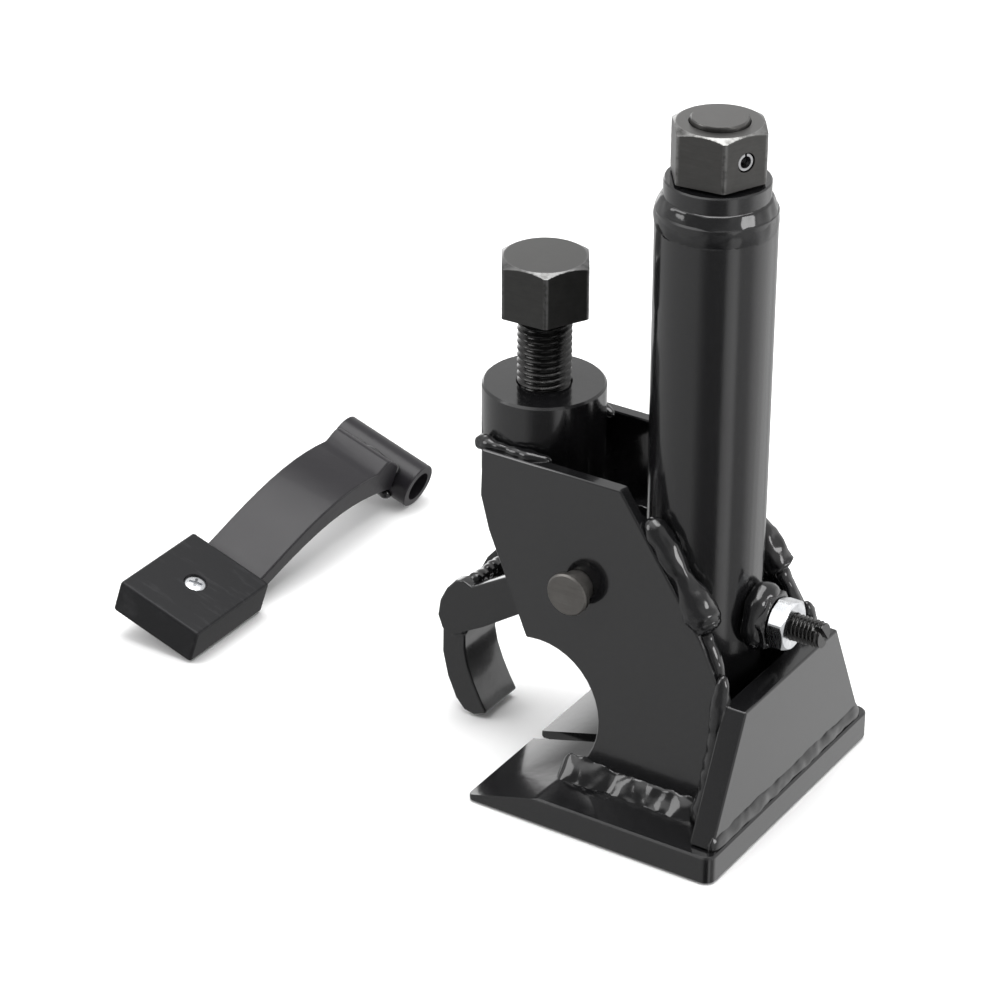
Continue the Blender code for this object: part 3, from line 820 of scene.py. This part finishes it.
# ------------------------------------------------------------------ threads and heads
@dataclass
class Thread:
    """A bar with a rolled V thread about a straight axis."""

    name: str
    radius: float
    pitch: float
    low: float
    high: float
    depth: float
    rings_per_turn: int = 8
    sides: int = 40

    def levels(self) -> list[Level]:
        """Rings of the bar from its low end to its high end, about +Z."""
        total = self.high - self.low
        count = max(4, int(total / self.pitch * self.rings_per_turn))

        def level(height: float) -> Level:
            """One threaded ring."""
            ease = min(1.0, (height - self.low) / self.pitch, (self.high - height) / self.pitch)

            def point(angle: float) -> tuple[float, float, float]:
                """Place at an angle."""
                phase = (height / self.pitch - angle / (2 * pi)) % 1.0
                groove = min(1.0, max(0.0, 1.25 * (1.0 - abs(2 * phase - 1.0)) - 0.12))
                size = self.radius - self.depth * (groove * ease + 0.6 * (1.0 - ease))
                return (size * cos(angle), size * sin(angle), height)

            return point

        return [level(self.low + total * k / count) for k in range(count + 1)]

    def build(self, matrix: Matrix) -> bpy.types.Object:
        """Return the threaded bar, moved by a matrix."""
        item = loft(self.name, self.levels(), self.sides, angle_deg=50.0)
        item.data.transform(matrix)
        return item


@dataclass
class HexHead:
    """Hexagon with softened corners and a turned chamfer at its top."""

    name: str
    flats: float
    low: float
    high: float
    turn: float
    bore: float = 0.0
    centre: tuple[float, float] = (0.0, 0.0)
    chamfer_deg: float = 30.0
    both_ends: bool = False
    sides: int = 180
    rim_share: float = 0.965
    corner_cut: float = 0.22 * MM
    cap_inset: float = 0.5 * MM
    low_step: float = 0.25 * MM

    def outline(self, angle: float) -> float:
        """Radius of the softened hexagon at an angle from its first corner."""
        half = self.flats / 2
        local = (angle % (pi / 3)) - pi / 6
        radius = half / cos(local)
        corner = half / cos(pi / 6)
        return min(radius, corner - self.corner_cut)

    def build(self) -> bpy.types.Object:
        """Return the head as a closed solid with worn corners marked."""
        rim = self.flats / 2 * self.rim_share
        slope = tan(radians(self.chamfer_deg))
        deepest = (self.flats / sqrt(3.0) - rim) * slope

        def level(height: float, top_gap: float, low_gap: float) -> Level:
            """Ring on the side of the head at a height."""
            def point(angle: float) -> tuple[float, float, float]:
                """Place at an angle."""
                limit = rim + top_gap / slope
                if self.both_ends:
                    limit = min(limit, rim + low_gap / slope)
                size = min(self.outline(angle), limit)
                spin = angle + self.turn
                return (self.centre[0] + size * cos(spin), self.centre[1] + size * sin(spin),
                        height)
            return point

        heights = [self.low, self.low + self.low_step]
        steps = 8
        if self.both_ends:
            heights += [self.low + deepest * k / steps for k in range(1, steps + 1)]
        heights += [self.high - deepest * k / steps for k in range(steps, -1, -1)]
        heights = sorted(set(heights))
        levels = [level(h, self.high - h, h - self.low) for h in heights]
        centre = Vector((*self.centre, 0.0))
        levels.append(ring(rim - self.cap_inset, self.high, centre, self.turn))
        if self.bore:
            levels = [ring(self.bore, self.low, centre, self.turn), *levels,
                      ring(self.bore, self.high, centre, self.turn)]
        item = loft(self.name, levels, self.sides, loop=bool(self.bore), angle_deg=24.0)
        mark_wear(item, self.wear_at)
        return item

    def wear_at(self, place: Vector) -> float:
        """Wear near the corners and along the chamfer's edge.

        Args:
            place: point on the head.

        Returns:
            The wear there, from 0 to 1.
        """
        local = Vector((place.x - self.centre[0], place.y - self.centre[1]))
        radius = local.length
        if radius < self.flats / 2 * 0.9:
            return 0.0
        corner = self.flats / sqrt(3.0)
        near_corner = max(0.0, 1.0 - (corner - radius) / (0.5 * MM))
        slope = tan(radians(self.chamfer_deg))
        limit = self.flats / 2 * self.rim_share + (self.high - place.z) / slope
        near_rim = max(0.0, 1.0 - abs(limit - radius) / (0.25 * MM))
        return min(1.0, 0.7 * near_corner + 0.45 * near_rim)


# ------------------------------------------------------------------ sub-assemblies
@dataclass
class WeldedFrame:
    """Foot, side plates, gusset, tube, collar, boss and their weld beads."""

    finishes: Finishes
    plate_top_z: float = 123.5 * MM
    plate_top_y: float = 27.3 * MM
    flare: float = 0.082
    foot_top: float = 11.0 * MM
    guide_z: float = 74.2 * MM
    edge: float = 0.45 * MM
    screw_radius: float = 4.95 * MM
    screw_pitch: float = 1.5 * MM
    screw_depth: float = 0.85 * MM
    slot_size: tuple[float, float, float] = (5.2 * MM, 16.0 * MM, 1.7 * MM)
    slot_turn: float = radians(-52)

    def outer_y(self, height: float) -> float:
        """Distance of a side plate's outer face from the middle at a height."""
        return self.plate_top_y + (self.plate_top_z - height) * self.flare

    def build(self) -> None:
        """Build every piece of the frame."""
        for node in ("foot_plate", "side_plate_left", "side_plate_right", "rear_gusset"):
            self.repaint(node, self.edge)
        for node in ("barrel_tube", "top_bush", "clamp_boss"):
            self.repaint(node, 0.0)
        self.guide_nuts()
        self.guide_screw()
        for bead in [*self.side_beads(), *self.cross_beads()]:
            place_piece(bead.build(), Body.FRAME, self.finishes.weld_paint)
        self.shoulder()

    def repaint(self, node: str, bevel: float) -> None:
        """Repaint one part, with its edges rounded by a width."""
        redress(node, f"{node}_painted", Body.FRAME, self.finishes.paint,
                bevel=bevel)

    def guide_nuts(self) -> None:
        """Welded nut and bright lock nut on the back of the tube."""
        low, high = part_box("guide_lock_nut")
        head = HexHead("lock_nut_hexagon", 17.0 * MM, low.x, high.x, radians(8),
                       bore=GUIDE_BORE, both_ends=True)
        item = head.build()
        item.data.transform(self.guide_matrix())
        place_piece(item, Body.FRAME, self.finishes.zinc, ["guide_lock_nut"])
        low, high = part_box("guide_weld_nut")
        head = HexHead("weld_nut_hexagon", 19.0 * MM, low.x, high.x, radians(17),
                       bore=GUIDE_BORE, both_ends=True)
        item = head.build()
        item.data.transform(self.guide_matrix())
        place_piece(item, Body.FRAME, self.finishes.weld_paint, ["guide_weld_nut"])

    def guide_matrix(self) -> Matrix:
        """Lays a piece made along +Z onto the guide screw's axis, along +X."""
        return Matrix.Translation((0.0, 0.0, self.guide_z)) @ Matrix.Rotation(pi / 2, 4, "Y")

    def guide_screw(self) -> None:
        """Threaded guide screw with a slotted end."""
        low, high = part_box("guide_screw")
        thread = Thread("guide_screw_thread", self.screw_radius, self.screw_pitch, low.x, high.x,
                        self.screw_depth)
        item = thread.build(self.guide_matrix())
        builder = bmesh.new()
        bmesh.ops.create_cube(builder, size=1.0)
        bmesh.ops.scale(builder, vec=self.slot_size, verts=builder.verts)
        bmesh.ops.rotate(builder, cent=(0, 0, 0), matrix=Matrix.Rotation(self.slot_turn, 3, "X"),
                         verts=builder.verts)
        bmesh.ops.translate(builder, vec=(high.x, 0.0, self.guide_z), verts=builder.verts)
        cut(item, [to_object(builder, "screw_slot")], 50.0)
        place_piece(item, Body.FRAME, self.finishes.thread, ["guide_screw"])

    def side_beads(self) -> list[WeldBead]:
        """Beads along the edges of the side plates and the boss, on both sides."""
        beads: list[WeldBead] = []
        for side, word in SIDES:
            low_y = side * (self.outer_y(self.foot_top) - 0.4 * MM)
            beads.append(WeldBead(
                f"weld_{word}_plate_foot",
                [(x * MM, low_y, self.foot_top - 0.6 * MM) for x in (-35, -24, -12, 0, 12, 23)],
                across=7.2 * MM, tall=7.6 * MM, pitch=7.0 * MM, ripple=0.025, lump=0.12,
                seed=side * 3.0, sides=32, corner=1.05, girth=(1.1, 1.0, 0.85, 0.9, 0.9, 0.9)))
            rear = ((25.0, 66, 2.6), (25.6, 54, 1.0), (25.6, 40, 0.4), (25.0, 26, -0.8),
                    (24.6, 11, -3.4))
            beads.append(WeldBead(
                f"weld_{word}_plate_gusset",
                [(x * MM, side * (self.outer_y(z * MM) - inset * MM), z * MM)
                 for x, z, inset in rear],
                across=4.4 * MM, tall=4.6 * MM, up=(0, -1, 0), pitch=7.5 * MM, ripple=0.06,
                lump=0.2, seed=side * 5.0, girth=(0.5, 0.8, 0.8, 0.95, 1.3)))
            beads.append(WeldBead(
                f"weld_{word}_plate_tube",
                on_side(side, (-9.5, 23.2, 114.0), (-3.0, 24.0, 106.5), (3.5, 24.4, 97.5),
                        (9.5, 24.8, 89.0), (14.5, 25.2, 82.0), (17.0, 25.6, 78.5)),
                across=5.6 * MM, tall=5.8 * MM, up=(0, side, 0), pitch=19 * MM, ripple=0.14,
                lump=0.22, seed=side * 7.0, sides=24, girth=(0.74, 0.78, 0.72, 0.95, 1.12, 1.05)))
            beads.append(WeldBead(
                f"weld_{word}_plate_tail",
                on_side(side, (15.5, 26.4, 79.0), (19.8, 27.0, 71.0), (23.2, 28.0, 63.5),
                        (24.6, 28.6, 58.0)),
                across=2.3 * MM, tall=2.9 * MM, up=(0, side, 0), pitch=5 * MM, ripple=0.08,
                lump=0.3, seed=side * 8.0, girth=(1.2, 0.9, 0.8, 1.0)))
            beads.append(WeldBead(
                f"weld_{word}_boss",
                on_side(side, (-80, 20.8, 122.6), (-74, 23.0, 123.6), (-66, 23.6, 124.0),
                        (-58, 23.2, 123.6), (-50, 20.6, 122.6)),
                across=2.5 * MM, tall=2.3 * MM, pitch=5.2 * MM, ripple=0.12, lump=0.4,
                seed=side * 9.0, girth=(0.9, 1.1, 0.8, 0.95, 0.7)))
        return beads

    def cross_beads(self) -> list[WeldBead]:
        """Beads under the gusset and around the welded nut."""
        gusset = WeldBead(
            "weld_gusset_foot", [(35.4 * MM, y * MM, 12.0 * MM) for y in range(-54, 55, 12)],
            across=2.4 * MM, tall=4.6 * MM, pitch=13 * MM, ripple=0.05, lump=0.14, seed=11.0,
            corner=1.5, sides=24)
        count, radius = 20, 8.4 * MM
        middle = Vector((23.6 * MM, 0, self.guide_z))
        path = [(middle.x, middle.y + radius * cos(2 * pi * k / count),
                 middle.z + radius * sin(2 * pi * k / count)) for k in range(count)]
        nut = WeldBead("weld_guide_nut", path, across=4.0 * MM, tall=4.2 * MM, up=(1, 0, 0),
                       pitch=8 * MM, ripple=0.06, lump=0.38, seed=17.0, closed=True)
        return [gusset, nut]

    def shoulder(self) -> None:
        """Rounded weld shoulder between the collar and the top of the tube."""
        outline = [(19.8, 216.0), (20.55, 216.4), (20.70, 217.6), (20.78, 219.2), (20.74, 221.0),
                   (20.52, 222.7), (20.15, 224.2), (19.65, 225.5), (19.15, 226.6), (18.75, 227.3),
                   (18.4, 227.8), (17.6, 228.0), (17.2, 225.0)]

        def level(radius: float, height: float) -> Level:
            """One ring of the shoulder, uneven where the weld was laid."""
            weight = min(1.0, max(0.0, (height - 216.0) / 4.0)) * (1.0 if radius > 18.5 else 0.3)

            def point(angle: float) -> tuple[float, float, float]:
                """Place on the ring at an angle."""
                spot = Vector((2.6 * cos(angle), 2.6 * sin(angle), height / 7.0))
                fine = Vector((7.0 * cos(angle), 7.0 * sin(angle), height / 3.0))
                swell = 0.42 * noise.noise(spot) + 0.22 * noise.noise(fine)
                size = (radius + weight * swell) * MM
                return (size * cos(angle), size * sin(angle), (height + weight * swell) * MM)

            return point

        item = loft("weld_collar_shoulder", [level(*pair) for pair in outline], 128, loop=True,
                    angle_deg=70.0)
        place_piece(item, Body.FRAME, self.finishes.weld_paint)


@dataclass
class Drive:
    """Drive hexagon, lead screw, roll pin and washer."""

    finishes: Finishes
    turn: float = radians(-54.2)
    bore: float = 10.3 * MM
    pin_hole: float = 3.45 * MM

    def build(self) -> None:
        """Build the drive's pieces."""
        low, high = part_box("drive_hex")
        head = HexHead("drive_hexagon", SPANNER_SIZE, low.z, high.z, self.turn, bore=self.bore)
        item = head.build()
        across = (Matrix.Rotation(self.turn + pi / 6, 4, "Z") @ Matrix.Rotation(pi / 2, 4, "Y"))
        across = Matrix.Translation((0, 0, (low.z + high.z) / 2)) @ across
        cut(item, [cylinder("pin_hole", self.pin_hole, 2 * SPANNER_SIZE, across)], 24.0)
        finishes = self.finishes
        place_piece(item, Body.DRIVE, finishes.screw_end, ["drive_hex"])
        redress("drive_screw", "drive_screw_turned", Body.DRIVE, finishes.screw_end)
        redress("roll_pin", "roll_pin_sprung", Body.DRIVE, finishes.steel)
        redress("thrust_washer", "thrust_washer_bronze", Body.DRIVE,
                finishes.bronze)


@dataclass
class Ram:
    """Ram that pushes the bead down."""

    finishes: Finishes

    def build(self) -> None:
        """Build the ram."""
        redress("ram", "ram_turned", Body.RAM, self.finishes.steel)


@dataclass
class Clamp:
    """Clamp bolt, hooked arm and pivot pin."""

    finishes: Finishes
    bolt_turn: float = radians(-57.4)
    head_low: float = 168.7 * MM
    thread_radius: float = 9.65 * MM
    thread_pitch: float = 2.5 * MM
    thread_depth: float = 1.35 * MM

    def build(self) -> None:
        """Build the clamp's pieces."""
        self.bolt()
        self.arm()
        self.pin()

    def bolt(self) -> None:
        """Hexagon bolt with a full thread."""
        low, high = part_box("clamp_bolt")
        head = HexHead("clamp_bolt_hexagon", SPANNER_SIZE, self.head_low, high.z,
                       self.bolt_turn, centre=(BOLT_X, 0.0))
        place_piece(head.build(), Body.CLAMP_BOLT, self.finishes.bolt_face,
                    ["clamp_bolt"])
        thread = Thread("clamp_bolt_thread", self.thread_radius, self.thread_pitch, low.z,
                        self.head_low + 1.0 * MM, self.thread_depth, rings_per_turn=10, sides=56)
        item = thread.build(Matrix.Translation((BOLT_X, 0.0, 0.0)))
        place_piece(item, Body.CLAMP_BOLT, self.finishes.thread)

    def arm(self) -> None:
        """Cheeks, hook, pivot tube, cross bar and their welds."""
        for node, angle in (("clamp_cheek_left", 46.0), ("clamp_cheek_right", 46.0),
                            ("clamp_hook", 46.0), ("clamp_pivot_tube", ROUND_ANGLE),
                            ("clamp_cross_bar", ROUND_ANGLE)):
            redress(node, f"{node}_painted", Body.CLAMP_ARM, self.finishes.paint,
                    angle)
        beads = [WeldBead("weld_hook_top",
                          [(-88.5 * MM, y * MM, 57.8 * MM) for y in (-12.5, -6, 0, 6, 12.5)],
                          across=2.6 * MM, tall=2.8 * MM, pitch=4 * MM, lump=0.3, seed=21.0)]
        for side, word in SIDES:
            beads.append(WeldBead(
                f"weld_hook_{word}",
                on_side(side, (-99.0, 11.4, 36.6), (-95.5, 11.8, 35.0), (-91.0, 11.4, 37.4)),
                across=2.2 * MM, tall=2.0 * MM, pitch=3 * MM, lump=0.3, seed=23.0 + side))
        for bead in beads:
            place_piece(bead.build(), Body.CLAMP_ARM, self.finishes.weld_paint)

    def pin(self) -> None:
        """Loose pivot pin."""
        redress("pivot_pin", "pivot_pin_turned", Body.PIVOT_PIN, self.finishes.pin)


@dataclass
class SpareArm:
    """Second arm with its nylon pad."""

    finishes: Finishes
    rest: tuple[float, float, float] = (-217.6 * MM, -14.7 * MM,
                                        20.0 * MM * sin(radians(18.0)))
    roll: float = radians(18.0)
    length: float = 126.0 * MM
    tube_radius: float = 9.6 * MM
    pad_top: float = 14.5 * MM
    screw_radius: float = 4.4 * MM
    shank_radius: float = 2.1 * MM
    dome: float = 1.0 * MM
    slot_size: tuple[float, float, float] = (5.2 * MM, 1.1 * MM, 3.0 * MM)

    def build(self) -> None:
        """Build the spare arm's pieces."""
        satin = self.finishes.satin
        redress("spare_bar", "spare_bar_painted", Body.SPARE_ARM, satin, 46.0)
        redress("spare_pivot_tube", "spare_pivot_tube_painted", Body.SPARE_ARM,
                satin)
        redress("spare_pad", "spare_pad_moulded", Body.SPARE_ARM,
                self.finishes.nylon, 46.0)
        self.screw()
        self.welds()

    def matrix(self) -> Matrix:
        """Places what is made along the arm, length along +X, as the arm lies."""
        return (Matrix.Translation(self.rest) @ Matrix.Rotation(pi / 2, 4, "Z")
                @ Matrix.Rotation(self.roll, 4, "X"))

    def screw(self) -> None:
        """Cross-slotted pad screw."""
        radius = self.screw_radius
        low, high = 1.5 * MM, self.pad_top
        rings = [ring(self.shank_radius, low), ring(self.shank_radius, high - 3.2 * MM),
                 ring(radius, high - 2.9 * MM), ring(radius, high - self.dome)]
        steps = 6
        for k in range(1, steps + 1):
            share = k / steps
            rings.append(ring(radius * cos(share * pi / 2 * 0.98),
                              high - self.dome + self.dome * sin(share * pi / 2)))
        item = loft("spare_pad_screw_head", rings, 48, angle_deg=50.0)
        tools = []
        for k in range(2):
            builder = bmesh.new()
            bmesh.ops.create_cube(builder, size=1.0)
            bmesh.ops.scale(builder, vec=self.slot_size, verts=builder.verts)
            turn = Matrix.Rotation(radians(25 + 90 * k), 3, "Z")
            bmesh.ops.rotate(builder, cent=(0, 0, 0), matrix=turn, verts=builder.verts)
            bmesh.ops.translate(builder, vec=(0, 0, high), verts=builder.verts)
            tools.append(to_object(builder, f"cross_slot_{k}"))
        cut(item, tools, 40.0)
        item.data.transform(self.matrix())
        place_piece(item, Body.SPARE_ARM, self.finishes.zinc, ["spare_pad_screw"])

    def welds(self) -> None:
        """Welds between the bar and its pivot tube."""
        near = self.length - self.tube_radius + 1.0 * MM
        for word, height, girth in (("top", 16.6 * MM, 1.0), ("under", 4.6 * MM, 0.8)):
            path = [(near, y * MM, height) for y in (-13.5, -7, 0, 7, 13.5)]
            bead = WeldBead(f"weld_spare_{word}", path, across=3.6 * MM, tall=3.0 * MM,
                            pitch=6 * MM, ripple=0.08, lump=0.4, seed=31.0 + height,
                            girth=(girth,))
            item = bead.build()
            item.data.transform(self.matrix())
            place_piece(item, Body.SPARE_ARM, self.finishes.weld_paint)


@dataclass(frozen=True)
class SoftWindow:
    """One soft bright or dark patch of the surround."""

    toward: tuple[float, float, float]
    inner: float
    outer: float
    gain: float


@dataclass
class Studio:
    """Pale floor, soft light and the camera."""

    azimuth: float = radians(32.801)
    elevation: float = radians(28.801)
    roll: float = radians(0.101)
    distance: float = 1.07975
    target: tuple[float, float, float] = (0.00786, -0.14674, 0.18507)
    lens: float = 129.67
    windows: tuple[SoftWindow, ...] = (
        SoftWindow((0.475, -0.737, -0.482), 6.0, 34.0, -0.48),
        SoftWindow((0.78, -0.40, -0.482), 3.0, 15.0, 0.85),
        SoftWindow((-0.70, 0.70, 0.06), 10.0, 24.0, 1.9),
        SoftWindow((0.66, 0.72, -0.22), 12.0, 40.0, 0.75),
        SoftWindow((-0.30, -0.20, 0.93), 12.0, 34.0, 1.5),
        SoftWindow((0.10, -0.86, 0.50), 20.0, 60.0, -0.55),
    )

    def build(self) -> None:
        """Set up the studio."""
        self.floor()
        self.world()
        self.lamps()
        self.camera()
        bpy.context.scene.view_settings.view_transform = "Standard"

    def floor(self) -> None:
        """Large pale floor just under the tool, left out of the reflections."""
        builder = bmesh.new()
        bmesh.ops.create_grid(builder, x_segments=4, y_segments=4, size=4.0)
        bmesh.ops.translate(builder, vec=(0, 0, -0.1 * MM), verts=builder.verts)
        item = to_object(builder, "studio_floor")
        item.data.materials.append(PaleFloor().build())
        item.visible_glossy = False

    def world(self) -> None:
        """Grey surround with soft bright and dark patches."""
        world = bpy.data.worlds.new("studio_surround")
        world.use_nodes = True
        graph = Graph(world.node_tree)
        aim = graph.value(graph.node("ShaderNodeTexCoord"), "Generated")
        parts = graph.node("ShaderNodeSeparateXYZ", None, Vector=aim)
        rise = graph.value(parts, "Z")
        light = graph.ramp(rise, -0.62, -0.20, soft=True) * 0.35 + 0.52
        for window in self.windows:
            dot = graph.node("ShaderNodeVectorMath", {"operation": "DOT_PRODUCT"})
            graph.tree.links.new(aim.socket, dot.inputs[0])
            dot.inputs[1].default_value = Vector(window.toward).normalized()
            near = graph.ramp(graph.value(dot, "Value"), cos(radians(window.outer)),
                              cos(radians(window.inner)), soft=True)
            light = light + near * window.gain
        shade = world.node_tree.nodes["Background"]
        shade.inputs["Color"].default_value = (1.0, 1.0, 1.0, 1.0)
        graph.tree.links.new(light.most(0.0).socket, shade.inputs["Strength"])
        bpy.context.scene.world = world

    def lamps(self) -> None:
        """Soft boxes to the left, the right and above."""
        self.lamp("left_box", (-1.1, -0.9, 0.9), 0.8, 7.0)
        self.lamp("right_box", (1.4, 0.1, 0.6), 0.6, 7.0)
        self.lamp("top_box", (0.0, 0.2, 1.7), 1.5, 30.0)

    @staticmethod
    def lamp(name: str, place: tuple[float, float, float], size: float, power: float) -> None:
        """Add a round area light that faces the tool.

        Args:
            name: light's name.
            place: where it stands.
            size: its diameter.
            power: its power, in watts.
        """
        data = bpy.data.lights.new(name, "AREA")
        data.shape = "DISK"
        data.size = size
        data.energy = power
        item = bpy.data.objects.new(name, data)
        bpy.context.scene.collection.objects.link(item)
        item.location = place
        aim = Vector((0.0, 0.0, 0.1)) - Vector(place)
        item.rotation_euler = aim.to_track_quat("-Z", "Y").to_euler()

    def camera(self) -> None:
        """Camera at the tool's product view."""
        data = bpy.data.cameras.new("product_camera")
        data.lens = self.lens
        data.sensor_width = 36.0
        data.clip_start = 0.05
        data.dof.use_dof = False
        item = bpy.data.objects.new("product_camera", data)
        bpy.context.scene.collection.objects.link(item)
        back = Vector((sin(self.azimuth) * cos(self.elevation),
                       -cos(self.azimuth) * cos(self.elevation), sin(self.elevation)))
        right = Vector((0, 0, 1)).cross(back).normalized()
        up = back.cross(right).normalized()
        level_right = right * cos(self.roll) + up * sin(self.roll)
        level_up = up * cos(self.roll) - right * sin(self.roll)
        place = Vector(self.target) + back * self.distance
        turn = Matrix((level_right, level_up, back)).transposed().to_4x4()
        item.matrix_world = Matrix.Translation(place) @ turn
        bpy.context.scene.camera = item


def main() -> None:
    """Build the whole scene in order."""
    logging.basicConfig(level=logging.INFO, format="%(message)s")
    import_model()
    finishes = Finishes.make(Vector((BOLT_X, 0.0, BOLT_TOP_Z)))
    for assembly in (WeldedFrame(finishes), Drive(finishes), Ram(finishes), Clamp(finishes),
                     SpareArm(finishes), Studio()):
        assembly.build()


if __name__ == "__main__":
    main()
